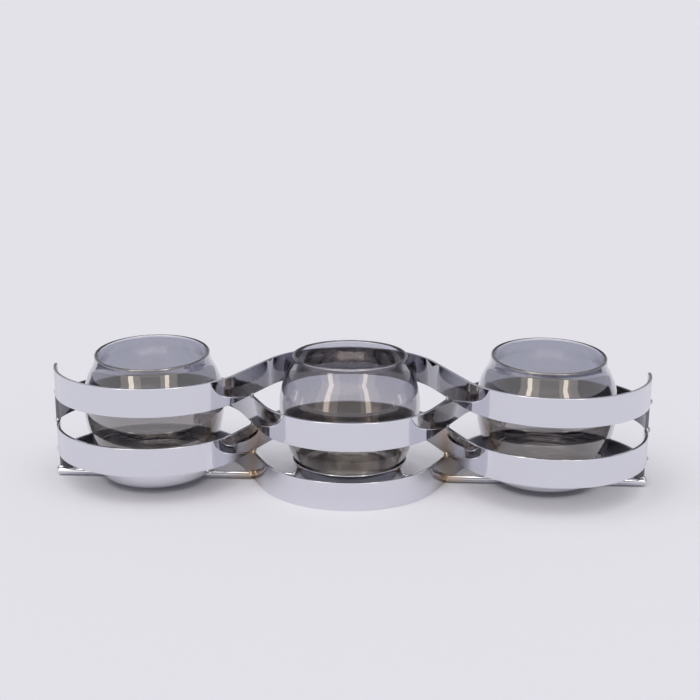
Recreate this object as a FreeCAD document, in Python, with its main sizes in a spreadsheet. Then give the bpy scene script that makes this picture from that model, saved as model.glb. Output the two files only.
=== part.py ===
import FreeCAD, Part
import Sketcher
import math
import os

# Three-cup candelabra: four wavy flat bars stacked on edge, crossing between three tumblers.
# Every second bar is the same bar turned over, so the lobes of the stack weave front and back.
# A round rod runs along the middle, low down, and carries three shallow pans with a glass in each.
#
# Frame: X along the stand, -Y is the front, +Z up; the origin is on the floor at the stand's centre.

document = FreeCAD.newDocument("candelabra")

# Driving sizes, in millimetres and degrees
DRIVING_SIZES = [
    # flat bars
    ("stand_length", 400.0),
    ("crossing_share", 0.33125),
    ("crossing_angle", 65.5),
    ("left_lobe_room", 9.0),
    ("middle_lobe_room", 9.5),
    ("right_lobe_room", 14.0),
    ("bar_height", 19.0),
    ("bar_thickness", 2.0),
    ("bar_gap", 1.1),
    ("end_lap", 2.0),
    # rod
    ("rod_diameter", 4.8),
    ("rod_floor_gap", 0.6),
    ("rod_gap", 0.3),
    # cups: places behind the long axis and lean of the side ones
    ("left_cup_setback", 3.0),
    ("right_cup_setback", 9.0),
    ("side_lean", 3.5),
    # pans
    ("pan_height", 11.5),
    ("pan_sheet", 1.0),
    ("pan_corner", 3.5),
    ("glass_clearance", 0.6),
    # glasses
    ("glass_height", 83.0),
    ("belly_height", 49.5),
    ("belly_radius", 47.5),
    ("lower_belly_curve", 80.0),
    ("upper_curve_share", 0.72),
    ("rim_inset", 9.0),
    ("foot_curve", 5.0),
    ("glass_wall", 2.0),
    ("floor_thickness", 6.0),
    ("floor_curve", 8.0),
    # weld beads
    ("bead_rise", 2.4),
    ("low_bead_width", 2.4),
    ("low_bead_length", 4.6),
    ("hidden_bead_width", 1.5),
    ("hidden_bead_length", 3.2),
    ("end_bead_width", 2.2),
    ("end_bead_length", 3.4),
    ("end_bead_outset", 0.8),
    ("rod_bead_radius", 2.75),
    ("tack_size", 1.3),
    ("tack_length", 3.0),
]

# Sizes that follow from the driving ones.
# Each lobe stands clear of its glass by its own room, measured to the middle of the bar.
# A lobe is one arc. It starts at the end of the stand, reaches the lobe's depth, and leaves
# along the straight run that passes through the crossing at the crossing angle.
# Above the belly a glass curves in on one arc and back to upright on another; the two radii add
# up to the shoulder's reach, which the upper arc takes its share of.
WORKED_SIZES = [
    ("bar_pitch", "bar_height + bar_gap"),
    ("left_lobe_depth", "belly_radius + left_lobe_room"),
    ("middle_lobe_depth", "belly_radius + middle_lobe_room"),
    ("right_lobe_depth", "belly_radius + right_lobe_room"),
    ("crossing_place", "stand_length * crossing_share / 2"),
    ("cup_place", "stand_length / 4 + crossing_place / 2"),
    ("lobe_chord", "stand_length / 2 - crossing_place"),
    ("half_angle_share", "tan(crossing_angle / 2)"),
    ("left_reach", "left_lobe_depth / half_angle_share"
                   " * (sqrt(2 * half_angle_share * lobe_chord / left_lobe_depth) - 1)"),
    ("left_arc_radius", "(left_reach ^ 2 / left_lobe_depth + left_lobe_depth) / 2"),
    ("left_arc_x", "left_reach - stand_length / 2"),
    ("left_arc_y", "left_arc_radius - left_lobe_depth"),
    ("right_reach", "right_lobe_depth / half_angle_share"
                    " * (sqrt(2 * half_angle_share * lobe_chord / right_lobe_depth) - 1)"),
    ("right_arc_radius", "(right_reach ^ 2 / right_lobe_depth + right_lobe_depth) / 2"),
    ("right_arc_x", "stand_length / 2 - right_reach"),
    ("right_arc_y", "right_arc_radius - right_lobe_depth"),
    ("middle_arc_radius", "(crossing_place * sin(crossing_angle)"
                          " - middle_lobe_depth * cos(crossing_angle)) / (1 - cos(crossing_angle))"),
    ("middle_arc_y", "middle_lobe_depth - middle_arc_radius"),
    ("rod_radius", "rod_diameter / 2"),
    ("rod_height", "rod_floor_gap + rod_radius"),
    ("rod_end", "(stand_length + bar_thickness) / 2"),
    ("rod_setback", "bar_thickness / 2 / sin(crossing_angle)"
                    " + rod_radius / tan(crossing_angle) + rod_gap"),
    ("rod_crossing_place", "crossing_place - rod_radius / tan(crossing_angle)"),
    ("rod_outer_stop", "rod_crossing_place + rod_setback"),
    ("rod_inner_stop", "rod_crossing_place - rod_setback"),
    ("rim_radius", "belly_radius - rim_inset"),
    ("rim_rise", "glass_height - glass_wall / 2 - belly_height"),
    ("shoulder_reach", "(rim_inset ^ 2 + rim_rise ^ 2) / (2 * rim_inset)"),
    ("upper_belly_curve", "shoulder_reach * upper_curve_share"),
    ("lower_curve_x", "belly_radius - lower_belly_curve"),
    ("upper_curve_x", "belly_radius - upper_belly_curve"),
    ("pan_inner_radius", "lower_curve_x + sqrt(lower_belly_curve ^ 2"
                         " - (belly_height - pan_height + pan_sheet) ^ 2) + glass_clearance"),
    ("pan_radius", "pan_inner_radius + pan_sheet"),
]

sheet = document.addObject("Spreadsheet::Sheet", "sizes")
row = 0
for alias, value in DRIVING_SIZES:
    row = row + 1
    sheet.set("A%d" % row, alias)
    sheet.set("B%d" % row, str(value))
    sheet.setAlias("B%d" % row, alias)
for alias, formula in WORKED_SIZES:
    row = row + 1
    sheet.set("A%d" % row, alias)
    sheet.set("B%d" % row, "=" + formula)
    sheet.setAlias("B%d" % row, alias)
document.recompute()


def size(alias):
    """Return the value that the sheet holds under this name."""
    return float(getattr(sheet, alias))


def new_body(label):
    """Return an empty body with this label."""
    body = document.addObject("PartDesign::Body", label)
    body.Label = label
    return body


def new_sketch(body, plane_role, name):
    """Return a sketch on one of the body's own origin planes."""
    planes = [feature for feature in body.Origin.OriginFeatures if feature.Role == plane_role]
    sketch = body.newObject("Sketcher::SketchObject", name)
    sketch.AttachmentSupport = (planes[0], [""])
    sketch.MapMode = "FlatFace"
    return sketch


def bind(sketch, name, formula, *constraint):
    """Add a dimension to the sketch and bind it to a formula of the sheet's sizes."""
    index = sketch.addConstraint(Sketcher.Constraint(*constraint))
    sketch.renameConstraint(index, name)
    sketch.setExpression("Constraints." + name, formula)


def tie(sketch, *constraint):
    """Add a geometric constraint to the sketch."""
    sketch.addConstraint(Sketcher.Constraint(*constraint))


def add_arc(sketch, centre_x, centre_y, radius, start, finish):
    """Add an arc that turns anticlockwise from start to finish, in radians."""
    circle = Part.Circle(FreeCAD.Vector(centre_x, centre_y, 0), FreeCAD.Vector(0, 0, 1), radius)
    return sketch.addGeometry(Part.ArcOfCircle(circle, start, finish), False)


def add_line(sketch, first, second):
    """Add a line between two points, each given as x and y."""
    segment = Part.LineSegment(FreeCAD.Vector(first[0], first[1], 0),
                               FreeCAD.Vector(second[0], second[1], 0))
    return sketch.addGeometry(segment, False)


def point_of(sketch, geometry, place):
    """Return the x and y of a geometry's start (1) or end (2)."""
    point = sketch.getPoint(geometry, place)
    return point.x, point.y


# Places of the points that a sketch constraint can name
START, FINISH, CENTRE = range(1, 4)
ORIGIN = (-1, START)


# Wavy flat bar

def bar_arc(sketch, lobe, side, lap):
    """Add one of the two parallel arcs of a lobe; side is +1 outside the curve and -1 inside."""
    half = size("bar_thickness") / 2
    angle = math.radians(size("crossing_angle"))
    radius = size(lobe + "_arc_radius") + side * half
    centre_y = size(lobe + "_arc_y")
    if lobe == "middle":
        return add_arc(sketch, 0, centre_y, radius, math.pi / 2 - angle, math.pi / 2 + angle)
    centre_x = size(lobe + "_arc_x")
    end_turn = math.asin((lap - centre_y) / radius)
    if lobe == "left":
        return add_arc(sketch, centre_x, centre_y, radius, math.pi - end_turn,
                       math.pi * 3 / 2 + angle)
    return add_arc(sketch, centre_x, centre_y, radius, math.pi * 3 / 2 - angle,
                   math.pi * 2 + end_turn)


def bar_sketch(sketch, lap_formula, lap):
    """Draw the outline of the bar seen from above: side lobes to the front, middle lobe behind.

    The lap is how far the ends reach past the long axis, as a formula and as its value.
    """
    outer = {}
    inner = {}
    for lobe in ("left", "middle", "right"):
        outer[lobe] = bar_arc(sketch, lobe, 1, lap)
        inner[lobe] = bar_arc(sketch, lobe, -1, lap)
        tie(sketch, "Coincident", inner[lobe], CENTRE, outer[lobe], CENTRE)
        bind(sketch, lobe + "_outer", "sizes.%s_arc_radius + sizes.bar_thickness / 2" % lobe,
             "Radius", outer[lobe], size(lobe + "_arc_radius"))
        bind(sketch, lobe + "_inner", "sizes.%s_arc_radius - sizes.bar_thickness / 2" % lobe,
             "Radius", inner[lobe], size(lobe + "_arc_radius"))
        bind(sketch, lobe + "_y", "sizes.%s_arc_y" % lobe,
             "DistanceY", *ORIGIN, outer[lobe], CENTRE, size(lobe + "_arc_y"))
    tie(sketch, "PointOnObject", outer["middle"], CENTRE, -2)
    for lobe in ("left", "right"):
        bind(sketch, lobe + "_x", "sizes.%s_arc_x" % lobe,
             "DistanceX", *ORIGIN, outer[lobe], CENTRE, size(lobe + "_arc_x"))
    # the two edges of the bar change from the outside of one lobe to the inside of the next
    for side_arcs, middle_arcs in ((outer, inner), (inner, outer)):
        left_arc = side_arcs["left"]
        middle_arc = middle_arcs["middle"]
        right_arc = side_arcs["right"]
        for first, first_place, second, second_place in (
                (left_arc, FINISH, middle_arc, FINISH), (middle_arc, START, right_arc, START)):
            run = add_line(sketch, point_of(sketch, first, first_place),
                           point_of(sketch, second, second_place))
            tie(sketch, "Tangent", run, START, first, first_place)
            tie(sketch, "Tangent", run, FINISH, second, second_place)
    # square ends
    for lobe, place in (("left", START), ("right", FINISH)):
        end = add_line(sketch, point_of(sketch, outer[lobe], place),
                       point_of(sketch, inner[lobe], place))
        tie(sketch, "Coincident", end, START, outer[lobe], place)
        tie(sketch, "Coincident", end, FINISH, inner[lobe], place)
        tie(sketch, "Horizontal", end)
        bind(sketch, lobe + "_lap", lap_formula, "DistanceY", *ORIGIN, end, START, lap)


def wavy_bar(label, level, turned_over, lap_formula, lap):
    """Build one flat bar on edge; level counts up from the floor."""
    body = new_body(label)
    sketch = new_sketch(body, "XY_Plane", label + "_outline")
    bar_sketch(sketch, lap_formula, lap)
    pad = body.newObject("PartDesign::Pad", label + "_pad")
    pad.Profile = sketch
    pad.setExpression("Length", "sizes.bar_height")
    foot = "sizes.bar_pitch * %d" % level
    if turned_over:
        body.setExpression("Placement", "placement(vector(0; 0; %s + sizes.bar_height);"
                                        " rotation(vector(1; 0; 0); 180))" % foot)
    else:
        body.setExpression("Placement", "placement(vector(0; 0; %s);"
                                        " rotation(vector(1; 0; 0); 0))" % foot)
    return body


# the bottom bar stops behind the rod, which runs past its ends
full_lap = ("sizes.end_lap", size("end_lap"))
short_lap = ("0 - sizes.rod_gap", -size("rod_gap"))
bars = [
    wavy_bar("bottom_bar", 0, True, *short_lap),
    wavy_bar("lower_bar", 1, False, *full_lap),
    wavy_bar("upper_bar", 2, True, *full_lap),
    wavy_bar("top_bar", 3, False, *full_lap),
]


# Round rod just in front of the long axis, in three lengths that stop at the bottom bar

def rod(label, start, length):
    """Build a straight rod along X from start, both given as formulas of the sheet's sizes."""
    piece = document.addObject("Part::Cylinder", label)
    piece.Label = label
    piece.setExpression("Radius", "sizes.rod_radius")
    piece.setExpression("Height", length)
    piece.setExpression("Placement", "placement(vector(%s; 0 - sizes.rod_radius;"
                                     " sizes.rod_height); rotation(vector(0; 1; 0); 90))" % start)
    return piece


rods = [
    rod("left_rod", "0 - sizes.rod_end", "sizes.rod_end - sizes.rod_outer_stop"),
    rod("middle_rod", "0 - sizes.rod_inner_stop", "sizes.rod_inner_stop * 2"),
    rod("right_rod", "sizes.rod_outer_stop", "sizes.rod_end - sizes.rod_outer_stop"),
]


# Turned profiles: pans and glasses

def turn(body, sketch, label):
    """Turn the sketch once round the body's own vertical axis."""
    revolution = body.newObject("PartDesign::Revolution", label + "_turn")
    revolution.Profile = sketch
    revolution.ReferenceAxis = (sketch, ["V_Axis"])
    revolution.Angle = 360


def cup_place(body, sideways, setback, lift, lean):
    """Stand a turned piece on the rod, its axis set back, raised along it and leaning forward."""
    back = "(sizes.rod_radius + %s)" % setback
    up = "(sizes.rod_radius + %s)" % lift
    along = "0 - sizes.rod_radius + cos(%s) * %s - sin(%s) * %s" % (lean, back, lean, up)
    height = "sizes.rod_height + sin(%s) * %s + cos(%s) * %s" % (lean, back, lean, up)
    body.setExpression("Placement", "placement(vector(%s; %s; %s); rotation(vector(1; 0; 0); %s))"
                                    % (sideways, along, height, lean))


def pan_sketch(sketch):
    """Draw half the section of a pan: flat floor, rounded corner, upright side, rolled rim."""
    radius = size("pan_radius")
    inside = size("pan_inner_radius")
    height = size("pan_height")
    metal = size("pan_sheet")
    corner = size("pan_corner")
    rim = metal / 2
    underside = add_line(sketch, (0, 0), (radius - corner, 0))
    outer_corner = add_arc(sketch, radius - corner, corner, corner, -math.pi / 2, 0)
    outside = add_line(sketch, (radius, corner), (radius, height - rim))
    rim_roll = add_arc(sketch, radius - rim, height - rim, rim, 0, math.pi)
    inner_side = add_line(sketch, (inside, height - rim), (inside, corner))
    inner_corner = add_arc(sketch, inside - corner + metal, corner, corner - metal,
                           -math.pi / 2, 0)
    floor = add_line(sketch, (inside - corner + metal, metal), (0, metal))
    middle = add_line(sketch, (0, metal), (0, 0))
    tie(sketch, "Coincident", underside, START, *ORIGIN)
    tie(sketch, "Horizontal", underside)
    tie(sketch, "Tangent", underside, FINISH, outer_corner, START)
    tie(sketch, "Tangent", outer_corner, FINISH, outside, START)
    tie(sketch, "Vertical", outside)
    tie(sketch, "Tangent", outside, FINISH, rim_roll, START)
    tie(sketch, "Tangent", rim_roll, FINISH, inner_side, START)
    tie(sketch, "Tangent", inner_side, FINISH, inner_corner, FINISH)
    tie(sketch, "Coincident", inner_corner, CENTRE, outer_corner, CENTRE)
    tie(sketch, "Tangent", inner_corner, START, floor, START)
    tie(sketch, "Coincident", floor, FINISH, middle, START)
    tie(sketch, "Coincident", middle, FINISH, *ORIGIN)
    tie(sketch, "Vertical", middle)
    bind(sketch, "side_place", "sizes.pan_radius",
         "DistanceX", *ORIGIN, outside, START, radius)
    bind(sketch, "inner_place", "sizes.pan_inner_radius",
         "DistanceX", *ORIGIN, inner_side, START, inside)
    bind(sketch, "corner_curve", "sizes.pan_corner", "Radius", outer_corner, corner)
    bind(sketch, "rim_top", "sizes.pan_height - sizes.pan_sheet / 2",
         "DistanceY", *ORIGIN, rim_roll, CENTRE, height - rim)


def pan(label, sideways, setback, lean):
    """Build a shallow round pan standing on the rod."""
    body = new_body(label)
    sketch = new_sketch(body, "XZ_Plane", label + "_section")
    pan_sketch(sketch)
    turn(body, sketch, label)
    cup_place(body, sideways, setback, "0", lean)
    return body


def glass_sketch(sketch):
    """Draw half the section of a round-bellied tumbler: thick floor, full belly, narrower rim."""
    height = size("glass_height")
    wide_height = size("belly_height")
    wide = size("belly_radius")
    lower = size("lower_belly_curve")
    upper = size("upper_belly_curve")
    rim = size("rim_radius")
    foot = size("foot_curve")
    wall = size("glass_wall")
    floor = size("floor_thickness")
    floor_round = size("floor_curve")
    lip = wall / 2
    lip_height = height - lip
    lower_x = wide - lower
    upper_x = wide - upper
    # the neck turns back to upright at the rim
    rise = size("rim_rise")
    neck = size("shoulder_reach") - upper
    neck_x = rim + neck
    neck_turn = math.atan2(rise, neck_x - upper_x)
    foot_x = lower_x + math.sqrt((lower - foot) ** 2 - (wide_height - foot) ** 2)
    foot_turn = math.atan2(wide_height - foot, foot_x - lower_x)
    inner_y = floor + floor_round
    inner_reach = lower - wall - floor_round
    inner_x = lower_x + math.sqrt(inner_reach ** 2 - (wide_height - inner_y) ** 2)
    inner_turn = math.atan2(wide_height - inner_y, inner_x - lower_x)

    base = add_line(sketch, (0, 0), (foot_x, 0))
    foot_arc = add_arc(sketch, foot_x, foot, foot, -math.pi / 2, -foot_turn)
    lower_out = add_arc(sketch, lower_x, wide_height, lower, -foot_turn, 0)
    upper_out = add_arc(sketch, upper_x, wide_height, upper, 0, neck_turn)
    neck_out = add_arc(sketch, neck_x, lip_height, neck, math.pi, math.pi + neck_turn)
    lip_arc = add_arc(sketch, rim - lip, lip_height, lip, 0, math.pi)
    neck_in = add_arc(sketch, neck_x, lip_height, neck + wall, math.pi, math.pi + neck_turn)
    upper_in = add_arc(sketch, upper_x, wide_height, upper - wall, 0, neck_turn)
    lower_in = add_arc(sketch, lower_x, wide_height, lower - wall, -inner_turn, 0)
    floor_arc = add_arc(sketch, inner_x, inner_y, floor_round, -math.pi / 2, -inner_turn)
    inner_floor = add_line(sketch, (inner_x, floor), (0, floor))
    middle = add_line(sketch, (0, floor), (0, 0))

    tie(sketch, "Coincident", base, START, *ORIGIN)
    tie(sketch, "Horizontal", base)
    tie(sketch, "Tangent", base, FINISH, foot_arc, START)
    tie(sketch, "Tangent", foot_arc, FINISH, lower_out, START)
    tie(sketch, "Horizontal", lower_out, CENTRE, lower_out, FINISH)
    tie(sketch, "Coincident", lower_out, FINISH, upper_out, START)
    tie(sketch, "Horizontal", upper_out, CENTRE, lower_out, CENTRE)
    tie(sketch, "Tangent", upper_out, FINISH, neck_out, FINISH)
    tie(sketch, "Horizontal", neck_out, CENTRE, neck_out, START)
    tie(sketch, "Coincident", neck_out, START, lip_arc, START)
    tie(sketch, "Horizontal", lip_arc, CENTRE, neck_out, CENTRE)
    tie(sketch, "Coincident", lip_arc, FINISH, neck_in, START)
    tie(sketch, "Coincident", neck_in, CENTRE, neck_out, CENTRE)
    tie(sketch, "Tangent", neck_in, FINISH, upper_in, FINISH)
    tie(sketch, "Coincident", upper_in, CENTRE, upper_out, CENTRE)
    tie(sketch, "Horizontal", upper_in, CENTRE, upper_in, START)
    tie(sketch, "Coincident", upper_in, START, lower_in, FINISH)
    tie(sketch, "Coincident", lower_in, CENTRE, lower_out, CENTRE)
    tie(sketch, "Tangent", lower_in, START, floor_arc, FINISH)
    tie(sketch, "Tangent", floor_arc, START, inner_floor, START)
    tie(sketch, "Horizontal", inner_floor)
    tie(sketch, "Coincident", inner_floor, FINISH, middle, START)
    tie(sketch, "Coincident", middle, FINISH, *ORIGIN)
    tie(sketch, "Vertical", middle)
    bind(sketch, "foot_round", "sizes.foot_curve", "Radius", foot_arc, foot)
    bind(sketch, "lower_curve", "sizes.lower_belly_curve", "Radius", lower_out, lower)
    bind(sketch, "upper_curve", "sizes.upper_belly_curve", "Radius", upper_out, upper)
    bind(sketch, "floor_round", "sizes.floor_curve", "Radius", floor_arc, floor_round)
    bind(sketch, "lip_round", "sizes.glass_wall / 2", "Radius", lip_arc, lip)
    bind(sketch, "widest_place", "sizes.belly_radius",
         "DistanceX", *ORIGIN, lower_out, FINISH, wide)
    bind(sketch, "widest_height", "sizes.belly_height",
         "DistanceY", *ORIGIN, lower_out, CENTRE, wide_height)
    bind(sketch, "rim_place", "sizes.rim_radius",
         "DistanceX", *ORIGIN, neck_out, START, rim)
    bind(sketch, "lip_height", "sizes.glass_height - sizes.glass_wall / 2",
         "DistanceY", *ORIGIN, lip_arc, CENTRE, lip_height)
    bind(sketch, "floor_height", "sizes.floor_thickness",
         "DistanceY", *ORIGIN, inner_floor, START, floor)


def glass(label, sideways, setback, lean):
    """Build a tumbler standing on its pan's floor."""
    body = new_body(label)
    sketch = new_sketch(body, "XZ_Plane", label + "_section")
    glass_sketch(sketch)
    turn(body, sketch, label)
    cup_place(body, sideways, setback, "sizes.pan_sheet", lean)
    return body


CUP_PLACES = [
    ("left", "0 - sizes.cup_place", "sizes.left_cup_setback", "sizes.side_lean"),
    ("middle", "0", "0", "0"),
    ("right", "sizes.cup_place", "sizes.right_cup_setback", "sizes.side_lean"),
]
pans = []
glasses = []
for side, sideways, setback, lean in CUP_PLACES:
    pans.append(pan(side + "_pan", sideways, setback, lean))
    glasses.append(glass(side + "_glass", sideways, setback, lean))


# Weld beads, each shaped by the pieces that it joins

def trimmed_bead(label, blob, place, neighbours):
    """Put the blob in its place, three formulas along X, Y and Z, less the neighbours' room."""
    for axis, formula in zip("xyz", place):
        blob.setExpression("Placement.Base." + axis, formula)
    room = document.addObject("Part::Compound", label + "_room")
    room.Links = neighbours
    trimmed = document.addObject("Part::Cut", label)
    trimmed.Base = blob
    trimmed.Tool = room
    return trimmed


def long_bead(label, place, radii, neighbours):
    """Return an egg-shaped bead; radii are three formulas along X, Y and Z."""
    egg = document.addObject("Part::Ellipsoid", label + "_egg")
    egg.setExpression("Radius2", radii[0])
    egg.setExpression("Radius3", radii[1])
    egg.setExpression("Radius1", radii[2])
    return trimmed_bead(label, egg, place, neighbours)


def weld_group(label, beads):
    """Group separate beads as one sub-part."""
    group = document.addObject("Part::Compound", label)
    group.Links = beads
    group.Label = label
    return group


def stack_beads(label, sideways, level_radii):
    """Return the beads that join the four bars where they lie over one another, from below."""
    beads = []
    for below, radii in enumerate(level_radii):
        level = below + 1
        height = "sizes.bar_pitch * %d - sizes.bar_gap / 2" % level
        beads.append(long_bead("%s_level_%d" % (label, level), (sideways, "0", height), radii,
                               [bars[below], bars[level]]))
    return beads


def rod_bead(label, place, rod_piece):
    """Return the round bead that joins an end of a rod to the bottom bar."""
    ball = document.addObject("Part::Sphere", label + "_ball")
    ball.setExpression("Radius", "sizes.rod_bead_radius")
    return trimmed_bead(label, ball, place, [bars[0], rod_piece])


low_radii = ("sizes.low_bead_width", "sizes.low_bead_length", "sizes.bead_rise")
hidden_radii = ("sizes.hidden_bead_width", "sizes.hidden_bead_length", "sizes.bead_rise")
end_radii = ("sizes.end_bead_width", "sizes.end_bead_length", "sizes.bead_rise")
rod_line = ("0 - sizes.rod_radius", "sizes.rod_height")
rod_corner = ("0", "sizes.rod_height + sizes.rod_radius / 2")
tack_radii = ("sizes.tack_length", "sizes.tack_size", "sizes.tack_size")
welds = []
for side, sign, side_rod in (("left", "0 - ", rods[0]), ("right", "", rods[2])):
    label = side + "_crossing_welds"
    beads = stack_beads(label, sign + "sizes.crossing_place",
                        [low_radii, hidden_radii, hidden_radii])
    beads.append(rod_bead(label + "_outer", (sign + "sizes.rod_outer_stop", *rod_line), side_rod))
    beads.append(rod_bead(label + "_inner", (sign + "sizes.rod_inner_stop", *rod_line), rods[1]))
    welds.append(weld_group(label, beads))
    label = side + "_end_welds"
    beads = stack_beads(label, sign + "(sizes.stand_length / 2 + sizes.end_bead_outset)",
                        [end_radii, end_radii, end_radii])
    beads.append(rod_bead(label + "_rod", (sign + "sizes.stand_length / 2", *rod_corner),
                          side_rod))
    welds.append(weld_group(label, beads))

for (side, sideways, setback, lean), side_pan, side_rod in zip(CUP_PLACES, pans, rods):
    label = side + "_pan_welds"
    beads = []
    for name, along in (("front", "0 - sizes.rod_diameter"), ("back", "0")):
        place = (sideways, along,
                 "sizes.rod_height + sizes.rod_radius - sizes.tack_size / 2")
        beads.append(long_bead(label + "_" + name, place, tack_radii, [side_pan, side_rod]))
    welds.append(weld_group(label, beads))


# Check every object, then write one file for each sub-part

document.recompute()
sub_parts = bars + rods + pans + glasses + welds
for item in document.Objects:
    if "Invalid" in item.State or "Error" in item.State:
        raise RuntimeError("failed object: " + item.Name)
for item in sub_parts:
    if item.Shape.isNull() or not item.Shape.isValid():
        raise RuntimeError("bad shape: " + item.Label)

os.makedirs("parts", exist_ok=True)
for item in sub_parts:
    item.Shape.exportStep(os.path.join("parts", item.Label + ".step"))
    box = item.Shape.BoundBox
    print("%-22s solids %d volume %9.1f  x %7.1f %7.1f  y %6.1f %6.1f  z %5.1f %5.1f"
          % (item.Label, len(item.Shape.Solids), item.Shape.Volume,
             box.XMin, box.XMax, box.YMin, box.YMax, box.ZMin, box.ZMax))
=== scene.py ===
"""Looks of a chromed candelabra: wavy flat bars woven round three smoked tumblers.

Sizes of the pieces are in millimetres, as on the drawing, and go into the meshes in metres.
Floor, light and camera limits are in metres. Finishes name their own units.
X runs along the stand, -Y is the front and +Z is up; the origin is on the floor.
"""

import math

import bpy
import numpy as np
from mathutils import Matrix, Vector


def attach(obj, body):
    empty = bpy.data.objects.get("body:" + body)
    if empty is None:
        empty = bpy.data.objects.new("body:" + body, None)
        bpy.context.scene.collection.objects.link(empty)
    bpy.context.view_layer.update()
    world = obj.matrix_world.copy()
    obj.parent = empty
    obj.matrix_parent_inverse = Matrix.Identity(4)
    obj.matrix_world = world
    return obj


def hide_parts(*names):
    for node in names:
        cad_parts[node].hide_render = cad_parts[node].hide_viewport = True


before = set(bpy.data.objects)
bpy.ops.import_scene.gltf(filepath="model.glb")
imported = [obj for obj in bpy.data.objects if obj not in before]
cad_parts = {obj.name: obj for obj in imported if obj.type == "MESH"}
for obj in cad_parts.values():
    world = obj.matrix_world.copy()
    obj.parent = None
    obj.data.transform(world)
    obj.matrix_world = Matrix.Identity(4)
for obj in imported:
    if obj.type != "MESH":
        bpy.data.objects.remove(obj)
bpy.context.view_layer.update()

MM = 0.001
QUARTER = math.pi / 2

# Flat bars
STAND_LENGTH = 400.0
CROSSING_PLACE = 132.5 / 2
CROSSING_ANGLE = math.radians(65.5)
LOBE_DEPTHS = {"left": 56.5, "middle": 57.0, "right": 61.5}
BAR_HEIGHT = 19.0
BAR_THICKNESS = 2.0
BAR_GAP = 1.1
BAR_PITCH = BAR_HEIGHT + BAR_GAP
ROD_GAP = 0.3
FULL_LAP = 2.0
SHORT_LAP = -ROD_GAP
BAR_EDGE_ROUND = 0.25

# Painted shade inside the bars, darker plating that stands in for the dark reflections there: where
# it starts and fades, and how much stays away from the ends
INNER_SHADE_START = 13.0
INNER_SHADE_BLEND = 12.0
INNER_SHADE_SHARE = 0.63
END_SHADE_REACH = 32.0
END_SHADE_BLEND = 18.0

# Rod and cups
ROD_RADIUS = 2.4
ROD_HEIGHT = 3.0
ROD_EASE = ROD_RADIUS / 8
CUP_SPACING = STAND_LENGTH / 4 + CROSSING_PLACE / 2
CUP_PLACES = {"left": -CUP_SPACING, "middle": 0.0, "right": CUP_SPACING}
SETBACKS = {"left": 3.0, "middle": 0.0, "right": 9.0}
SIDE_LEAN = math.radians(3.5)
LEANS = {"left": SIDE_LEAN, "middle": 0.0, "right": SIDE_LEAN}

# Pans
PAN_HEIGHT = 11.5
PAN_SHEET = 1.0
PAN_CORNER = 3.5
GLASS_CLEARANCE = 0.6

# Glasses
GLASS_HEIGHT = 83.0
BELLY_HEIGHT = 49.5
BELLY_RADIUS = 47.5
LOWER_CURVE = 80.0
RIM_INSET = 9.0
UPPER_CURVE_SHARE = 0.72
FOOT_CURVE = 5.0
GLASS_WALL = 2.0
FLOOR_THICKNESS = 6.0
FLOOR_CURVE = 8.0
FOOT_HOLLOW = 0.4
FOOT_LIFT = 0.03

# Weld beads, as radii along X, Y and Z
LOW_BEAD = (2.4, 4.6, 2.4)
HIDDEN_BEAD = (1.5, 3.2, 2.4)
LEFT_END_BEAD = (2.0, 3.2, 2.2)
RIGHT_END_BEAD = (2.2, 3.4, 2.4)
LEFT_END_OUTSET = 0.2
RIGHT_END_OUTSET = 0.8
ROD_BEAD = (2.75, 2.75, 2.75)
TACK = (3.0, 1.3, 1.3)

# Skin of a bead: its plain share of the radii, and the share and pace of its waves on X, Y and Z
BEAD_SHARE = 0.92
WAVE_SHARES = (0.05, 0.04, 0.04)
WAVE_PACES = (3, 4, 5)

# Steps of the curved surfaces, and the rings of a flat disc as shares of its radius
TURN_STEPS = 160
ROD_TURN_STEPS = 48
LOBE_STEPS = 90
EASE_STEPS = 5
PAN_CORNER_STEPS = 14
PAN_RIM_STEPS = 12
PAN_INSIDE_STEPS = 12
PAN_SIDE_STEPS = 6
FOOT_STEPS = 16
LOWER_STEPS = 30
UPPER_STEPS = 24
NECK_STEPS = 12
LIP_STEPS = 14
BEAD_RINGS = 20
BEAD_TURN_STEPS = 32
FLAT_SHARES = np.linspace(0.1, 0.98, 12)


# Shapes

def arc(centre, radius, start, finish, steps):
    """Points on a circle: centre plus radius times cosine and sine of evenly spaced angles."""
    turn = np.linspace(start, finish, steps)
    return np.stack([centre[0] + radius * np.cos(turn), centre[1] + radius * np.sin(turn)], axis=1)


def upright(radius, heights):
    """Points of a profile that stand at one radius."""
    return np.stack([np.full(len(heights), radius), heights], axis=1)


def make_piece(name, points, faces, material, node, body):
    """Put points in millimetres and faces into a smooth mesh that stands for a node."""
    mesh = bpy.data.meshes.new(name)
    mesh.from_pydata((np.asarray(points) * MM).tolist(), [], faces)
    mesh.polygons.foreach_set("use_smooth", [True] * len(mesh.polygons))
    mesh.materials.append(material)
    mesh.update()
    piece = bpy.data.objects.new(name, mesh)
    bpy.context.scene.collection.objects.link(piece)
    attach(piece, body)
    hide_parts(node)
    return piece


def write_on(piece, name, values):
    """Write a value on every point of a piece, for its finish to read."""
    layer = piece.data.attributes.new(name, "FLOAT", "POINT")
    layer.data.foreach_set("value", values)


def grid_faces(rows, columns):
    """Quads between the rings of a closed grid: each row is a ring of points."""
    row, column = np.meshgrid(np.arange(rows - 1), np.arange(columns), indexing="ij")
    after = (column + 1) % columns
    quads = np.stack([row * columns + column, row * columns + after,
                      (row + 1) * columns + after, (row + 1) * columns + column], axis=-1)
    return quads.reshape(-1, 4).tolist()


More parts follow.
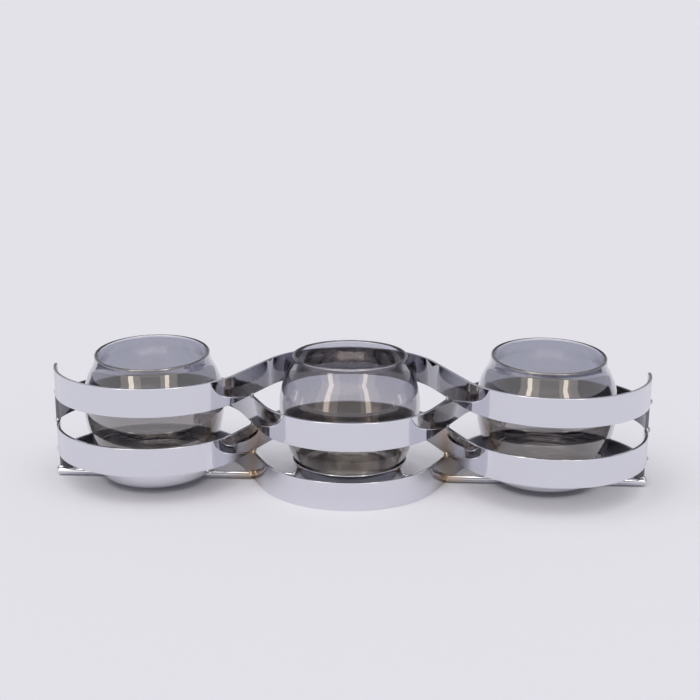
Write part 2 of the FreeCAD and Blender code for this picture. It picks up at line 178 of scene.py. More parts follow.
def turned(profile, steps=TURN_STEPS):
    """Turn a profile of radius and height, from axis to axis, once round the Z axis.

    A point is radius times the cosine and sine of the turn, at the profile's height.
    """
    radius, height = profile[1:-1].T
    turn = np.linspace(0, 2 * math.pi, steps, endpoint=False)
    rings = np.stack([radius[:, None] * np.cos(turn), radius[:, None] * np.sin(turn),
                      np.repeat(height[:, None], steps, axis=1)], axis=-1)
    points = np.concatenate([rings.reshape(-1, 3), [[0, 0, profile[0][1]], [0, 0, profile[-1][1]]]])
    faces = grid_faces(len(radius), steps)
    start_pole = len(points) - 2
    last_ring = (len(radius) - 1) * steps
    around = np.arange(steps)
    after = (around + 1) % steps
    faces += np.stack([after, around, np.full(steps, start_pole)], axis=1).tolist()
    faces += np.stack([last_ring + around, last_ring + after,
                       np.full(steps, start_pole + 1)], axis=1).tolist()
    return points, faces


# Wavy bars

def lobe_arc(lobe):
    """Return a lobe's arc as centre x, centre y and radius, with side lobes towards -Y.

    A side arc passes through the bar's end and touches the straight run of the crossing.
    With k the tangent of half the crossing angle, W the chord and A the depth, the centre lies
    (A / k) (sqrt(2 k W / A) - 1) in from the end.
    """
    depth = LOBE_DEPTHS[lobe]
    if lobe == "middle":
        radius = ((CROSSING_PLACE * math.sin(CROSSING_ANGLE) - depth * math.cos(CROSSING_ANGLE))
                  / (1 - math.cos(CROSSING_ANGLE)))
        return 0.0, depth - radius, radius
    slope = math.tan(CROSSING_ANGLE / 2)
    chord = STAND_LENGTH / 2 - CROSSING_PLACE
    reach = depth / slope * (math.sqrt(2 * slope * chord / depth) - 1)
    radius = (reach ** 2 / depth + depth) / 2
    side = -1 if lobe == "left" else 1
    return side * (STAND_LENGTH / 2 - reach), radius - depth, radius


def bar_path(lap):
    """Return the centreline of a bar and its left-hand normals; the ends reach y = lap."""
    points = []
    normals = []
    left_x, left_y, left_r = lobe_arc("left")
    middle_x, middle_y, middle_r = lobe_arc("middle")
    right_x, right_y, right_r = lobe_arc("right")
    left_end = math.pi - math.asin((lap - left_y) / left_r)
    right_end = 2 * math.pi + math.asin((lap - right_y) / right_r)
    for x, y, radius, start, finish, side in (
            (left_x, left_y, left_r, left_end, 3 * QUARTER + CROSSING_ANGLE, -1),
            (middle_x, middle_y, middle_r, QUARTER + CROSSING_ANGLE, QUARTER - CROSSING_ANGLE, 1),
            (right_x, right_y, right_r, 3 * QUARTER - CROSSING_ANGLE, right_end, -1)):
        points.append(arc((x, y), radius, start, finish, LOBE_STEPS))
        normals.append(side * arc((0, 0), 1, start, finish, LOBE_STEPS))
    return np.concatenate(points), np.concatenate(normals)


def bar_section():
    """Return a rounded rectangle, thickness by height, with a point beside each corner.

    The extra points keep the flat faces truly flat where the mesh is shaded smooth. Each lies
    half an edge round along the tangent, which is minus the sine and the cosine of the angle.
    """
    inset = np.array([BAR_THICKNESS, BAR_HEIGHT]) / 2 - BAR_EDGE_ROUND
    beside = BAR_EDGE_ROUND / 2
    section = []
    for number, corner in enumerate(((1, 1), (-1, 1), (-1, -1), (1, -1))):
        start = number * QUARTER
        finish = start + QUARTER
        bend = arc(inset * corner, BAR_EDGE_ROUND, start, finish, EASE_STEPS)
        before = bend[0] - beside * np.array([-math.sin(start), math.cos(start)])
        after = bend[-1] + beside * np.array([-math.sin(finish), math.cos(finish)])
        section.append(np.concatenate([[before], bend, [after]]))
    return np.concatenate(section)


def bar_rings(path, normal, section):
    """Place the section along the path, as rings of points, and close it in at both ends.

    A point is the path plus the section times the normal, at the section's height. Over the edge
    round at an end, the ring moves on by the sine of a quarter turn and narrows by one less the
    cosine, both times the round.
    """
    ease = np.linspace(0, QUARTER, EASE_STEPS)
    onward = BAR_EDGE_ROUND * np.sin(ease) - BAR_EDGE_ROUND
    narrow = BAR_EDGE_ROUND * (1 - np.cos(ease))
    start_way = (path[0] - path[1]) / np.linalg.norm(path[0] - path[1])
    finish_way = (path[-1] - path[-2]) / np.linalg.norm(path[-1] - path[-2])
    places = np.concatenate([path[0] + onward[::-1, None] * start_way, path[1:-1],
                             path[-1] + onward[:, None] * finish_way])
    sides = np.pad(normal, ((EASE_STEPS - 1, EASE_STEPS - 1), (0, 0)), mode="edge")
    narrowing = np.concatenate([narrow[::-1], np.zeros(len(path) - 2), narrow])
    half = np.array([BAR_THICKNESS, BAR_HEIGHT]) / 2
    outlines = section * (1 - narrowing[:, None, None] / half)
    flat = places[:, None, :] + outlines[:, :, :1] * sides[:, None, :]
    return np.concatenate([flat, outlines[:, :, 1:] + BAR_HEIGHT / 2], axis=2)


def inner_painted_shade(path, section, ring_count):
    """Return the painted shade on the plating, from 0 on outer faces to 1 on inner faces at the
    ends.

    The darker plating stands in for the dark reflections inside the bars, which are deepest near the
    ends.
    It is one half less half of the blend: the side of the section times the path's y, less a
    start, over a width. The start carries it a little way onto the outer face at the crossings.
    Away from the ends it is scaled down to the inner share.
    Away from the ends it is scaled down to the inner share.
    """
    extra = (ring_count - len(path)) // 2
    x, y = np.pad(path, ((extra, extra), (0, 0)), mode="edge").T
    side = section[:, 0] / (BAR_THICKNESS / 2)
    blend = (y[:, None] * side - INNER_SHADE_START) / INNER_SHADE_BLEND
    near_end = np.clip((np.abs(x) - STAND_LENGTH / 2 + END_SHADE_REACH) / END_SHADE_BLEND, 0, 1)
    share = INNER_SHADE_SHARE + (1 - INNER_SHADE_SHARE) * near_end
    return share[:, None] * np.clip(0.5 - 0.5 * blend, 0, 1)


def build_bar(node, level, turned_over, lap, material):
    """Build one wavy bar at its level of the stack; every second bar is turned over."""
    path, normal = bar_path(lap)
    section = bar_section()
    rings = bar_rings(path, normal, section)
    points = rings.reshape(-1, 3)
    faces = grid_faces(*rings.shape[:2])
    start_cap = list(range(len(section)))
    last_ring = len(points) - len(section)
    faces.append(start_cap[::-1])
    faces.append([last_ring + corner for corner in start_cap])
    if turned_over:
        points = points * [1, -1, -1] + [0, 0, BAR_HEIGHT]
    points = points + [0, 0, level * BAR_PITCH]
    piece = make_piece(node + "_chromed", points, [face[::-1] for face in faces], material,
                       node, "frame")
    # painted shade: the value inner darkens the plating on the inner faces, in place of dark
    # reflections
    write_on(piece, "inner", inner_painted_shade(path, section, len(rings)).ravel())


# Rod

def rod_stops():
    """Return the start and finish of the rod's three spans along X."""
    crossing = CROSSING_PLACE - ROD_RADIUS / math.tan(CROSSING_ANGLE)
    setback = (BAR_THICKNESS / 2 / math.sin(CROSSING_ANGLE)
               + ROD_RADIUS / math.tan(CROSSING_ANGLE) + ROD_GAP)
    near = crossing - setback
    far = crossing + setback
    end = (STAND_LENGTH + BAR_THICKNESS) / 2
    return {"left": (-end, -far), "middle": (-near, near), "right": (far, end)}


def build_rod(side, material):
    """Turn a rod with eased ends and lay it along X, in front of the long axis."""
    start, finish = rod_stops()[side]
    length = finish - start
    flat = ROD_RADIUS - ROD_EASE
    middle = np.array([2 * ROD_EASE, length / 2, length - 2 * ROD_EASE])
    profile = np.concatenate([
        [[0, 0]], arc((flat, ROD_EASE), ROD_EASE, -QUARTER, 0, EASE_STEPS),
        upright(ROD_RADIUS, middle),
        arc((flat, length - ROD_EASE), ROD_EASE, 0, QUARTER, EASE_STEPS), [[0, length]]])
    points, faces = turned(profile, ROD_TURN_STEPS)
    points = np.column_stack([points[:, 2] + start, points[:, 1] - ROD_RADIUS,
                              ROD_HEIGHT - points[:, 0]])
    node = side + "_rod"
    make_piece(node + "_chromed", points, faces, material, node, "frame")


# Pans and glasses

def on_rod(points, side, lift):
    """Stand points on the rod, set back and lifted in their own frame and leaning forward."""
    lean = LEANS[side]
    back = points[:, 1] + ROD_RADIUS + SETBACKS[side]
    up = points[:, 2] + ROD_RADIUS + lift
    return np.column_stack([points[:, 0] + CUP_PLACES[side],
                            back * math.cos(lean) - up * math.sin(lean) - ROD_RADIUS,
                            back * math.sin(lean) + up * math.cos(lean) + ROD_HEIGHT])


def pan_inner_radius():
    """The glass's radius level with the pan's rim, and the clearance round it."""
    level = BELLY_HEIGHT - PAN_HEIGHT + PAN_SHEET
    return (BELLY_RADIUS - LOWER_CURVE + math.sqrt(LOWER_CURVE ** 2 - level ** 2)
            + GLASS_CLEARANCE)


def pan_profile():
    """Half section of a pan: flat floor, rounded corner, upright side, rolled rim."""
    inner = pan_inner_radius()
    outer = inner + PAN_SHEET
    rim = PAN_SHEET / 2
    flat = outer - PAN_CORNER
    corner = (flat, PAN_CORNER)
    under = np.stack([flat * FLAT_SHARES, np.zeros(len(FLAT_SHARES))], axis=1)
    top = under[::-1] + [0, PAN_SHEET]
    side = np.linspace(PAN_CORNER, PAN_HEIGHT - rim, PAN_SIDE_STEPS)[1:-1]
    return np.concatenate([
        [[0, 0]], under, arc(corner, PAN_CORNER, -QUARTER, 0, PAN_CORNER_STEPS),
        upright(outer, side),
        arc((outer - rim, PAN_HEIGHT - rim), rim, 0, math.pi, PAN_RIM_STEPS),
        upright(inner, side[::-1]),
        arc(corner, PAN_CORNER - PAN_SHEET, 0, -QUARTER, PAN_INSIDE_STEPS), top,
        [[0, PAN_SHEET]]])


def glass_profile():
    """Half section of a tumbler, all arcs: foot, belly, neck that turns upright, lip, inside.

    The underside is a shallow hollow: its height falls with the square of the radius to the foot.
    The foot stands a hair above the pan, so that light finds two surfaces there and not one.
    """
    lip = GLASS_WALL / 2
    lip_height = GLASS_HEIGHT - lip
    rise = lip_height - BELLY_HEIGHT
    reach = (RIM_INSET ** 2 + rise ** 2) / (2 * RIM_INSET)
    upper = reach * UPPER_CURVE_SHARE
    neck = reach - upper
    rim = BELLY_RADIUS - RIM_INSET
    lower_x = BELLY_RADIUS - LOWER_CURVE
    upper_x = BELLY_RADIUS - upper
    neck_x = rim + neck
    neck_turn = math.atan2(rise, neck_x - upper_x)
    foot_x = lower_x + math.sqrt((LOWER_CURVE - FOOT_CURVE) ** 2 - (BELLY_HEIGHT - FOOT_CURVE) ** 2)
    foot_turn = math.atan2(BELLY_HEIGHT - FOOT_CURVE, foot_x - lower_x)
    inner_y = FLOOR_THICKNESS + FLOOR_CURVE
    inner_reach = LOWER_CURVE - GLASS_WALL - FLOOR_CURVE
    inner_x = lower_x + math.sqrt(inner_reach ** 2 - (BELLY_HEIGHT - inner_y) ** 2)
    inner_turn = math.atan2(BELLY_HEIGHT - inner_y, inner_x - lower_x)
    hollow = FOOT_LIFT + FOOT_HOLLOW * (1 - FLAT_SHARES ** 2)
    floor = np.full(len(FLAT_SHARES), FLOOR_THICKNESS)
    foot = arc((foot_x, FOOT_CURVE), FOOT_CURVE, -QUARTER, -foot_turn, FOOT_STEPS)[:-1]
    foot[:, 1] = np.maximum(foot[:, 1], FOOT_LIFT)
    return np.concatenate([
        [[0, FOOT_LIFT + FOOT_HOLLOW]], np.stack([foot_x * FLAT_SHARES, hollow], axis=1), foot,
        arc((lower_x, BELLY_HEIGHT), LOWER_CURVE, -foot_turn, 0, LOWER_STEPS)[:-1],
        arc((upper_x, BELLY_HEIGHT), upper, 0, neck_turn, UPPER_STEPS)[:-1],
        arc((neck_x, lip_height), neck, math.pi + neck_turn, math.pi, NECK_STEPS)[:-1],
        arc((rim - lip, lip_height), lip, 0, math.pi, LIP_STEPS)[:-1],
        arc((neck_x, lip_height), neck + GLASS_WALL, math.pi, math.pi + neck_turn, NECK_STEPS)[:-1],
        arc((upper_x, BELLY_HEIGHT), upper - GLASS_WALL, neck_turn, 0, UPPER_STEPS)[:-1],
        arc((lower_x, BELLY_HEIGHT), LOWER_CURVE - GLASS_WALL, 0, -inner_turn, LOWER_STEPS)[:-1],
        arc((inner_x, inner_y), FLOOR_CURVE, -inner_turn, -QUARTER, FOOT_STEPS),
        np.stack([inner_x * FLAT_SHARES[::-1], floor], axis=1), [[0, FLOOR_THICKNESS]]])


def build_pan(side, material):
    """Turn a pan and stand it on the rod."""
    points, faces = turned(pan_profile())
    node = side + "_pan"
    make_piece(node + "_chromed", on_rod(points, side, 0), faces, material,
               node, "frame")


def build_glass(side, material):
    """Turn a tumbler and stand it in its pan.

    Its points carry their own height, and 1 for the film from the underside up to the lip.
    """
    profile = glass_profile()
    points, faces = turned(profile)
    node = side + "_glass"
    piece = make_piece(node + "_smoked", on_rod(points, side, PAN_SHEET), faces, material,
                       node, node)
    write_on(piece, "own_height", points[:, 2] * MM)
    outside = (np.arange(len(profile)) <= np.argmax(profile[:, 1])).astype(float)
    write_on(piece, "film", np.append(np.repeat(outside[1:-1], TURN_STEPS), outside[[0, -1]]))


# Weld beads

def bead(centre, radii, seed):
    """An egg with a lumpy skin: radii scaled by a share and a few slow waves of the direction."""
    polar = np.linspace(0, math.pi, BEAD_RINGS + 2)
    half_circle = np.stack([np.sin(polar), np.cos(polar)], axis=1)
    direction, faces = turned(half_circle, BEAD_TURN_STEPS)
    swell = sum(share * np.sin(pace * direction[:, axis] + (axis + 1) * seed)
                for axis, (share, pace) in enumerate(zip(WAVE_SHARES, WAVE_PACES)))
    points = np.array(centre) + direction * np.array(radii) * (BEAD_SHARE + swell[:, None])
    return points, [face[::-1] for face in faces]


def build_beads(node, beads, material):
    """Join several beads into the piece that stands for a group of welds."""
    all_points = []
    all_faces = []
    count = 0
    for number, (centre, radii) in enumerate(beads):
        points, faces = bead(centre, radii, number + len(node))
        all_points.append(points)
        all_faces += [[corner + count for corner in face] for face in faces]
        count += len(points)
    make_piece(node + "_beads", np.concatenate(all_points), all_faces, material,
               node, "frame")


def build_welds(tarnished, plated):
    """Build the beads of the crossings and of the ends, and the tacks under the pans."""
    stops = rod_stops()
    levels = [BAR_PITCH * level - BAR_GAP / 2 for level in (1, 2, 3)]
    for side, sign, end_bead, outset in (("left", -1, LEFT_END_BEAD, LEFT_END_OUTSET),
                                         ("right", 1, RIGHT_END_BEAD, RIGHT_END_OUTSET)):
        beads = [((sign * CROSSING_PLACE, 0, level), radii)
                 for level, radii in zip(levels, (LOW_BEAD, HIDDEN_BEAD, HIDDEN_BEAD))]
        for place in (stops["right"][0], stops["middle"][1]):
            beads.append(((sign * place, -ROD_RADIUS, ROD_HEIGHT), ROD_BEAD))
        build_beads(side + "_crossing_welds", beads, tarnished)
        end_place = STAND_LENGTH / 2 + outset
        beads = [((sign * end_place, 0, level), end_bead) for level in levels]
        beads.append(((sign * STAND_LENGTH / 2, 0, ROD_HEIGHT + ROD_RADIUS / 2), ROD_BEAD))
        build_beads(side + "_end_welds", beads, plated)
    for side, sideways in CUP_PLACES.items():
        height = ROD_HEIGHT + ROD_RADIUS - TACK[2] / 2
        beads = [((sideways, along, height), TACK) for along in (-2 * ROD_RADIUS, 0)]
        build_beads(side + "_pan_welds", beads, tarnished)


# Finish values: colours are red, green, blue and alpha, pattern sizes are repeats to a metre,
# gloss, haze and depths run from 0 to 1, a bend is how strongly light is bent, as its refractive
# index, and a band is where a fade starts and finishes

# Plating
BUMP_DISTANCE = 0.001
DENT_DETAIL = 1.0
HAZE_SIZE = 90.0
HAZE_DETAIL = 4.0
HAZE_BAND = (0.45, 0.75)
# Painted shade: dark plating for the inner faces, standing in for the dark reflections there
INNER_PAINTED_SHADE = (0.19, 0.19, 0.21, 1)

# Heat colour by the crossings, with heights and reach in metres
PLAIN_PLATING = (0.7, 0.7, 0.74, 1)
STRAW = (0.5, 0.4, 0.32, 1)
HEAT_REACH = 0.024
HEAT_LOW = 0.03
HEAT_TOP = 0.048

# Beads, with the height over which the tarnish gives way to plain plating in metres
BEAD_DENT_SIZE = 900.0
BEAD_DENT_DEPTH = 0.35
MOTTLE_SIZE = 500.0
MOTTLE_DETAIL = 3.0
MOTTLE_BAND = (0.42, 0.6)
UPPER_BEAD = (0.55, 0.55, 0.58, 1)
UPPER_BEAD_BAND = (0.028, 0.036)

# Smoked glass, with heights from the glass's foot in metres
GLASS_BEND = 1.5
GLASS_GLOSS = 0.25
GLASS_GLOSS_TINT = (1.0, 0.88, 0.78, 1)
FILM_BEND = 2.35
SMOKE_BAND = (0.022, 0.068)
CLEAR_LIP = (0.95, 0.95, 0.96, 1)
LIP_BAND = (0.0812, 0.0822)
EDGE_SMOKE = (0.10, 0.10, 0.12, 1)
EDGE_BAND = (0.55, 1.0)
EDGE_SHARE = 0.75
GRAZING_BLEND = 0.5
RIPPLE_SIZE = 18.0
RIPPLE_DETAIL = 1.0
RIPPLE_DEPTH = 0.05


# Parts of a finish

def new_finish(name):
    """Return a new material and its Principled shader."""
    material = bpy.data.materials.new(name)
    material.use_nodes = True
    return material, material.node_tree.nodes["Principled BSDF"]


def feed(tree, socket, source):
    """Give a socket a fixed value, or link another node's output to it."""
    if isinstance(source, bpy.types.NodeSocket):
        tree.links.new(source, socket)
    else:
        socket.default_value = source


def own_place(tree):
    """The place on the piece, in metres."""
    return tree.nodes.new("ShaderNodeTexCoord").outputs["Object"]


def own_axes(tree):
    """The place on the piece, as separate X, Y and Z outputs."""
    axes = tree.nodes.new("ShaderNodeSeparateXYZ")
    feed(tree, axes.inputs["Vector"], own_place(tree))
    return axes.outputs


def written(tree, name):
    """A value that was written on the piece's points."""
    note = tree.nodes.new("ShaderNodeAttribute")
    note.attribute_name = name
    return note.outputs["Fac"]


def cloud(tree, size, detail):
    """A cloudy pattern over the piece, from 0 to 1."""
    noise = tree.nodes.new("ShaderNodeTexNoise")
    feed(tree, noise.inputs["Vector"], own_place(tree))
    feed(tree, noise.inputs["Scale"], size)
    feed(tree, noise.inputs["Detail"], detail)
    return noise.outputs["Fac"]


def dented(tree, pattern, depth):
    """The surface's normal, turned as if the pattern stood up from the surface."""
    bump = tree.nodes.new("ShaderNodeBump")
    feed(tree, bump.inputs["Distance"], BUMP_DISTANCE)
    feed(tree, bump.inputs["Strength"], depth)
    feed(tree, bump.inputs["Height"], pattern)
    return bump.outputs["Normal"]


def fade(tree, value, low, high, start=0.0, finish=1.0, smooth=True):
    """Start where the value is low, finish where it is high, and an even or a smooth way between."""
    way = tree.nodes.new("ShaderNodeMapRange")
    way.interpolation_type = "SMOOTHSTEP" if smooth else "LINEAR"
    for name, source in (("Value", value), ("From Min", low), ("From Max", high),
                         ("To Min", start), ("To Max", finish)):
        feed(tree, way.inputs[name], source)
    return way.outputs["Result"]


def worked_out(tree, operation, *sources):
    """A value worked out from one or two others."""
    step = tree.nodes.new("ShaderNodeMath")
    step.operation = operation
    for number, source in enumerate(sources):
        feed(tree, step.inputs[number], source)
    return step.outputs[0]


def mixed(tree, share, first, second):
    """The first colour, and the second in its place as the share grows to 1."""
    mix = tree.nodes.new("ShaderNodeMix")
    mix.data_type = "RGBA"
    feed(tree, mix.inputs["Factor"], share)
    feed(tree, mix.inputs["A"], first)
    feed(tree, mix.inputs["B"], second)
    return mix.outputs["Result"]


def group_sockets(group, inputs, outputs):
    """Give a node group its named sockets; inputs carry their first values."""
    for name, kind, value in inputs:
        socket = group.interface.new_socket(name=name, in_out="INPUT", socket_type=kind)
        socket.default_value = value
    for name, kind in outputs:
        group.interface.new_socket(name=name, in_out="OUTPUT", socket_type=kind)
    return group.nodes.new("NodeGroupInput").outputs, group.nodes.new("NodeGroupOutput").inputs


def add_group(tree, group, values):
    """Place a node group; each named input is a fixed value or another node's output."""
    node = tree.nodes.new("ShaderNodeGroup")
    node.node_tree = group
    for name, source in values.items():
        feed(tree, node.inputs[name], source)
    return node.outputs


# Finishes

def plated_skin_group():
    """Shared skin of plated metal: slow dents as a normal, and faint haze as roughness."""
    group = bpy.data.node_groups.new("plated_skin", "ShaderNodeTree")
    given, result = group_sockets(
        group,
        [("Dent Size", "NodeSocketFloat", 30.0), ("Dent Depth", "NodeSocketFloat", 0.02),
         ("Gloss", "NodeSocketFloat", 0.04), ("Haze", "NodeSocketFloat", 0.05)],
        [("Roughness", "NodeSocketFloat"), ("Normal", "NodeSocketVector")])
    dents = cloud(group, given["Dent Size"], DENT_DETAIL)
    haze = cloud(group, HAZE_SIZE, HAZE_DETAIL)
    feed(group, result["Normal"], dented(group, dents, given["Dent Depth"]))
    feed(group, result["Roughness"],
         fade(group, haze, *HAZE_BAND, given["Gloss"], given["Haze"], smooth=False))
    return group


def heat_tint_group():
    """Heat colour round the low crossings: fades with distance from a crossing and with height.

    Distance is measured across X and Y from the upright lines through the two crossings, as the
    length of x, without its sign and less the crossing's place, together with y.
    """
    group = bpy.data.node_groups.new("heat_tint", "ShaderNodeTree")
    given, result = group_sockets(
        group,
        [("Clean", "NodeSocketColor", PLAIN_PLATING), ("Straw", "NodeSocketColor", STRAW),
         ("Reach", "NodeSocketFloat", HEAT_REACH), ("Top", "NodeSocketFloat", HEAT_TOP)],
        [("Color", "NodeSocketColor")])
    axes = own_axes(group)
    along = worked_out(group, "ABSOLUTE", axes["X"])
    flat = group.nodes.new("ShaderNodeCombineXYZ")
    feed(group, flat.inputs["X"], worked_out(group, "SUBTRACT", along, CROSSING_PLACE * MM))
    feed(group, flat.inputs["Y"], axes["Y"])
    away = group.nodes.new("ShaderNodeVectorMath")
    away.operation = "LENGTH"
    feed(group, away.inputs[0], flat.outputs["Vector"])
    near = fade(group, away.outputs["Value"], 0.0, given["Reach"], 1.0, 0.0)
    low = fade(group, axes["Z"], HEAT_LOW, given["Top"], 1.0, 0.0)
    heated = worked_out(group, "MULTIPLY", near, low)
    feed(group, result["Color"], mixed(group, heated, given["Clean"], given["Straw"]))
    return group


def plated_skin(tree, shader, skin_group, dent_size, dent_depth, gloss, haze):
    """Make a shader metal and give it the shared plated skin with its own values."""
    skin = add_group(tree, skin_group, {"Dent Size": dent_size, "Dent Depth": dent_depth,
                                        "Gloss": gloss, "Haze": haze})
    feed(tree, shader.inputs["Metallic"], 1.0)
    feed(tree, shader.inputs["Roughness"], skin["Roughness"])
    feed(tree, shader.inputs["Normal"], skin["Normal"])


def chrome_finish(name, skin_group, tint_group, clean, dent_size, dent_depth, gloss, haze):
    """Bright plating: mirror metal with slow dents, faint haze and heat colour near the welds.

    Where a piece has the value inner written on it, the plating is darkened by that share, a painted
    shade that stands in for dark reflections.
    """
    material, shader = new_finish(name)
    tree = material.node_tree
    plated_skin(tree, shader, skin_group, dent_size, dent_depth, gloss, haze)
    # painted shade: the plating darkens towards the inner colour where inner is written
    shaded_plating = mixed(tree, written(tree, "inner"), clean, INNER_PAINTED_SHADE)
    tint = add_group(tree, tint_group, {"Clean": shaded_plating})
    feed(tree, shader.inputs["Base Color"], tint["Color"])
    return material


def weld_finish(name, skin_group, bright, dark, gloss, haze):
    """Weld bead: mottled metal between two colours, plain plated grey on the upper levels."""
    material, shader = new_finish(name)
    tree = material.node_tree
    plated_skin(tree, shader, skin_group, BEAD_DENT_SIZE, BEAD_DENT_DEPTH, gloss, haze)
    ramp = tree.nodes.new("ShaderNodeValToRGB")
    for element, position, colour in zip(ramp.color_ramp.elements, MOTTLE_BAND, (dark, bright)):
        element.position = position
        element.color = colour
    feed(tree, ramp.inputs["Fac"], cloud(tree, MOTTLE_SIZE, MOTTLE_DETAIL))
    upper = fade(tree, own_axes(tree)["Z"], *UPPER_BEAD_BAND, smooth=False)
    feed(tree, shader.inputs["Base Color"], mixed(tree, upper, ramp.outputs["Color"], UPPER_BEAD))
    return material


def smoked_glass_finish(name, low, high, film):
    """Smoked tumbler: browner towards the foot, clear at the lip, deeper where seen edge on.

    A thin reflecting film gives the upright gleams of such smoked glass. It is a coat on the
    outside that shows only from outside: its weight is the film written on the points, times the
    film's share, times one less the back face.
    """
    material, shader = new_finish(name)
    tree = material.node_tree
    for socket, value in (("Roughness", 0.0), ("IOR", GLASS_BEND), ("Transmission Weight", 1.0),
                          ("Specular IOR Level", GLASS_GLOSS), ("Specular Tint", GLASS_GLOSS_TINT),
                          ("Coat Roughness", 0.0), ("Coat IOR", FILM_BEND)):
        feed(tree, shader.inputs[socket], value)
    face = tree.nodes.new("ShaderNodeNewGeometry")
    front = worked_out(tree, "SUBTRACT", 1.0, face.outputs["Backfacing"])
    share = worked_out(tree, "MULTIPLY", written(tree, "film"), film)
    feed(tree, shader.inputs["Coat Weight"], worked_out(tree, "MULTIPLY", share, front))
    own_height = written(tree, "own_height")
    smoke = mixed(tree, fade(tree, own_height, *SMOKE_BAND), low, high)
    with_lip = mixed(tree, fade(tree, own_height, *LIP_BAND, smooth=False), smoke, CLEAR_LIP)
    grazing = tree.nodes.new("ShaderNodeLayerWeight")
    feed(tree, grazing.inputs["Blend"], GRAZING_BLEND)
    edge = fade(tree, grazing.outputs["Facing"], *EDGE_BAND, 0.0, EDGE_SHARE)
    feed(tree, shader.inputs["Base Color"], mixed(tree, edge, with_lip, EDGE_SMOKE))
    ripple = cloud(tree, RIPPLE_SIZE, RIPPLE_DETAIL)
    feed(tree, shader.inputs["Normal"], dented(tree, ripple, RIPPLE_DEPTH))
    return material


# Floor and room, in metres
FLOOR_REACH = 40.0
FLOOR_COLOUR = (0.80, 0.792, 0.822, 1)
FLOOR_ROUGHNESS = 0.7
ROOM_COLOUR = (0.93, 0.93, 1.0, 1)
ROOM_STRENGTH = 0.55
BACKDROP_COLOUR = (0.769, 0.760, 0.815, 1)

# Overhead lamp, turned to shine from above, a little from the front and from the left
LAMP_POWER = 1.58
LAMP_SPREAD = math.radians(70)
LAMP_COLOUR = (1.0, 0.99, 0.98)
LAMP_TURN = (math.radians(25), math.radians(-8), 0)

# Panels that show only as gleams, in metres and watts: the ceiling's place, width, depth and
# power, and each upright one's place to the side and in front, width and power
CEILING_PANEL = ((-0.15, -0.35, 1.6), 1.3, 0.7, 7.5)
CEILING_COLOUR = (1.0, 1.0, 1.0)
UPRIGHT_PANELS = {"left_strip": (-0.86, 1.2, 0.24, 8.0),
                  "right_strip": (0.76, 1.2, 0.20, 6.4),
                  "left_window": (-0.95, 1.3, 1.1, 6.5),
                  "right_window": (0.98, 1.3, 1.0, 5.6),
                  "front_window": (0.0, 1.8, 3.0, 8.0)}
UPRIGHT_HEIGHT = 4.4
UPRIGHT_MIDDLE = 2.22
UPRIGHT_COLOUR = (1.0, 0.91, 0.80)

# Camera, worked out from the photograph's bar edges and glass rims: its angles in radians, its
# place in millimetres, and the nearest and farthest that it sees in metres
PHOTO_WIDTH = 700
FOCAL_PIXELS = 1268.9
SENSOR_WIDTH = 36.0
CAMERA_YAW = -0.0428
CAMERA_PITCH = 0.2606
CAMERA_ROLL = 0.0047
CAMERA_PLACE = (35.16, -820.5, 311.1)
NEAREST_SEEN = 0.01
FARTHEST_SEEN = 200.0


# Floor, light and camera

def place_in_scene(name, data):
    """Return a new object that holds the given data, in the scene."""
    holder = bpy.data.objects.new(name, data)
    bpy.context.scene.collection.objects.link(holder)
    return holder


def build_floor():
    """A wide pale floor."""
    mesh = bpy.data.meshes.new("floor")
    corners = [(across * FLOOR_REACH, along * FLOOR_REACH, 0)
               for across, along in ((-1, -1), (1, -1), (1, 1), (-1, 1))]
    mesh.from_pydata(corners, [], [(0, 1, 2, 3)])
    material, shader = new_finish("pale_floor")
    shader.inputs["Base Color"].default_value = FLOOR_COLOUR
    shader.inputs["Roughness"].default_value = FLOOR_ROUGHNESS
    shader.inputs["Specular IOR Level"].default_value = 0.0
    mesh.materials.append(material)
    floor = place_in_scene("floor", mesh)


def build_room():
    """An even pale room that lights the stand, and a backdrop that only the camera sees."""
    world = bpy.data.worlds.new("pale_room")
    bpy.context.scene.world = world
    world.use_nodes = True
    tree = world.node_tree
    room = tree.nodes["Background"]
    backdrop = tree.nodes.new("ShaderNodeBackground")
    for surround, colour, strength in ((room, ROOM_COLOUR, ROOM_STRENGTH),
                                       (backdrop, BACKDROP_COLOUR, 1.0)):
        surround.inputs["Color"].default_value = colour
        surround.inputs["Strength"].default_value = strength
    path = tree.nodes.new("ShaderNodeLightPath")
    mix = tree.nodes.new("ShaderNodeMixShader")
    tree.links.new(path.outputs["Is Camera Ray"], mix.inputs["Fac"])
    tree.links.new(room.outputs["Background"], mix.inputs[1])
    tree.links.new(backdrop.outputs["Background"], mix.inputs[2])
    tree.links.new(mix.outputs["Shader"], tree.nodes["World Output"].inputs["Surface"])


def build_lamp():
    """One wide soft lamp overhead that no polished surface mirrors."""
    lamp = bpy.data.lights.new("overhead", "SUN")
    lamp.energy = LAMP_POWER
    lamp.angle = LAMP_SPREAD
    lamp.color = LAMP_COLOUR
    overhead = place_in_scene("overhead", lamp)
    overhead.rotation_euler = LAMP_TURN
    overhead.visible_glossy = False


def add_panel(name, place, width, height, power, colour):
    """Return a pale panel that shows only in polished surfaces; unturned, it faces down."""
    panel = bpy.data.lights.new(name, "AREA")
    panel.shape = "RECTANGLE"
    panel.size = width
    panel.size_y = height
    panel.energy = power
    panel.color = colour
    holder = place_in_scene(name, panel)
    holder.location = place
    holder.visible_diffuse = False
    holder.visible_camera = False
    return holder


def build_panels():
    """Hang the ceiling panel, and stand the upright ones in front, each facing the stand."""
    place, width, depth, power = CEILING_PANEL
    add_panel("ceiling_panel", place, width, depth, power, CEILING_COLOUR)
    for name, (sideways, away, width, power) in UPRIGHT_PANELS.items():
        place = (sideways, -away, UPRIGHT_MIDDLE)
        panel = add_panel(name, place, width, UPRIGHT_HEIGHT, power, UPRIGHT_COLOUR)
        panel.rotation_euler = Vector((sideways, -away, 0)).to_track_quat("Z", "Y").to_euler()


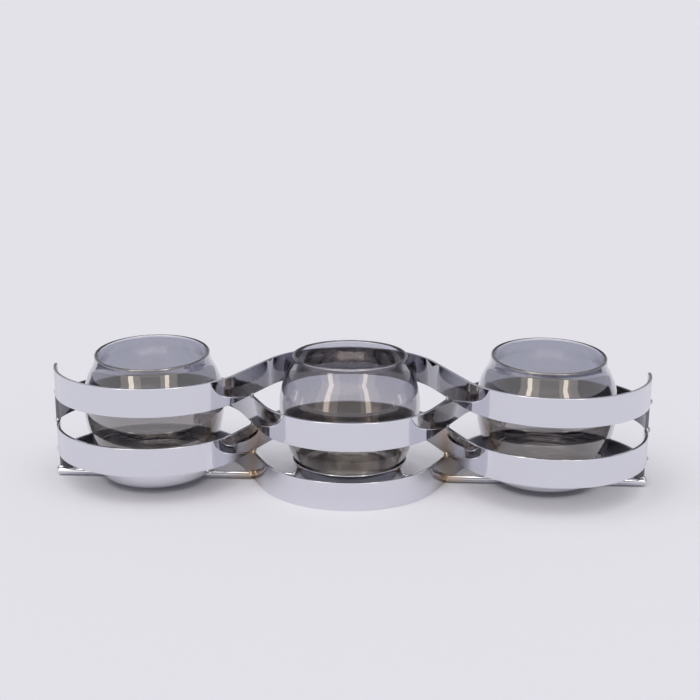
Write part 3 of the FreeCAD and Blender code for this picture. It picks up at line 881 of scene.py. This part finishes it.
def build_camera():
    """Aim the camera: turn by yaw about Z, look down by pitch, and roll about its own axis."""
    cy, sy = math.cos(CAMERA_YAW), math.sin(CAMERA_YAW)
    cp, sp = math.cos(CAMERA_PITCH), math.sin(CAMERA_PITCH)
    cr, sr = math.cos(CAMERA_ROLL), math.sin(CAMERA_ROLL)
    level = np.array([[1, 0, 0], [0, 0, -1], [0, 1, 0]])
    yaw = np.array([[cy, -sy, 0], [sy, cy, 0], [0, 0, 1]])
    pitch = np.array([[1, 0, 0], [0, cp, -sp], [0, sp, cp]])
    roll = np.array([[cr, -sr, 0], [sr, cr, 0], [0, 0, 1]])
    right, down, forward = roll @ pitch @ level @ yaw
    data = bpy.data.cameras.new("camera")
    data.sensor_width = SENSOR_WIDTH
    data.lens = FOCAL_PIXELS / PHOTO_WIDTH * SENSOR_WIDTH
    data.clip_start = NEAREST_SEEN
    data.clip_end = FARTHEST_SEEN
    camera = place_in_scene("camera", data)
    turn = Matrix(np.stack([right, -down, -forward], axis=1).tolist()).to_4x4()
    camera.matrix_world = Matrix.Translation([place * MM for place in CAMERA_PLACE]) @ turn
    bpy.context.scene.camera = camera


# Build the finishes, the pieces and the setting

skin = plated_skin_group()
tint = heat_tint_group()
bar_chrome = chrome_finish("bar_chrome", skin, tint, clean=(0.745, 0.75, 0.80, 1),
                           dent_size=14.0, dent_depth=0.25, gloss=0.03, haze=0.07)
pan_chrome = chrome_finish("pan_chrome", skin, tint, clean=(0.77, 0.775, 0.83, 1),
                           dent_size=25.0, dent_depth=0.10, gloss=0.03, haze=0.06)
side_glass = smoked_glass_finish("side_glass_finish", low=(0.47, 0.44, 0.41, 1),
                                 high=(0.45, 0.46, 0.53, 1), film=1.0)
middle_glass = smoked_glass_finish("middle_glass_finish", low=(0.74, 0.72, 0.69, 1),
                                   high=(0.63, 0.63, 0.69, 1), film=0.35)
tarnished = weld_finish("tarnished_bead", skin, bright=(0.88, 0.76, 0.56, 1),
                        dark=(0.34, 0.27, 0.21, 1), gloss=0.18, haze=0.45)
plated = weld_finish("plated_bead", skin, bright=(0.75, 0.75, 0.78, 1),
                     dark=(0.45, 0.44, 0.46, 1), gloss=0.10, haze=0.25)

for level, node in enumerate(("bottom_bar", "lower_bar", "upper_bar", "top_bar")):
    build_bar(node, level, level % 2 == 0, FULL_LAP if level else SHORT_LAP, bar_chrome)
for side, glass in (("left", side_glass), ("middle", middle_glass), ("right", side_glass)):
    build_rod(side, bar_chrome)
    build_pan(side, pan_chrome)
    build_glass(side, glass)
build_welds(tarnished, plated)

build_floor()
build_room()
build_lamp()
build_panels()
build_camera()
bpy.context.scene.view_settings.view_transform = "Standard"
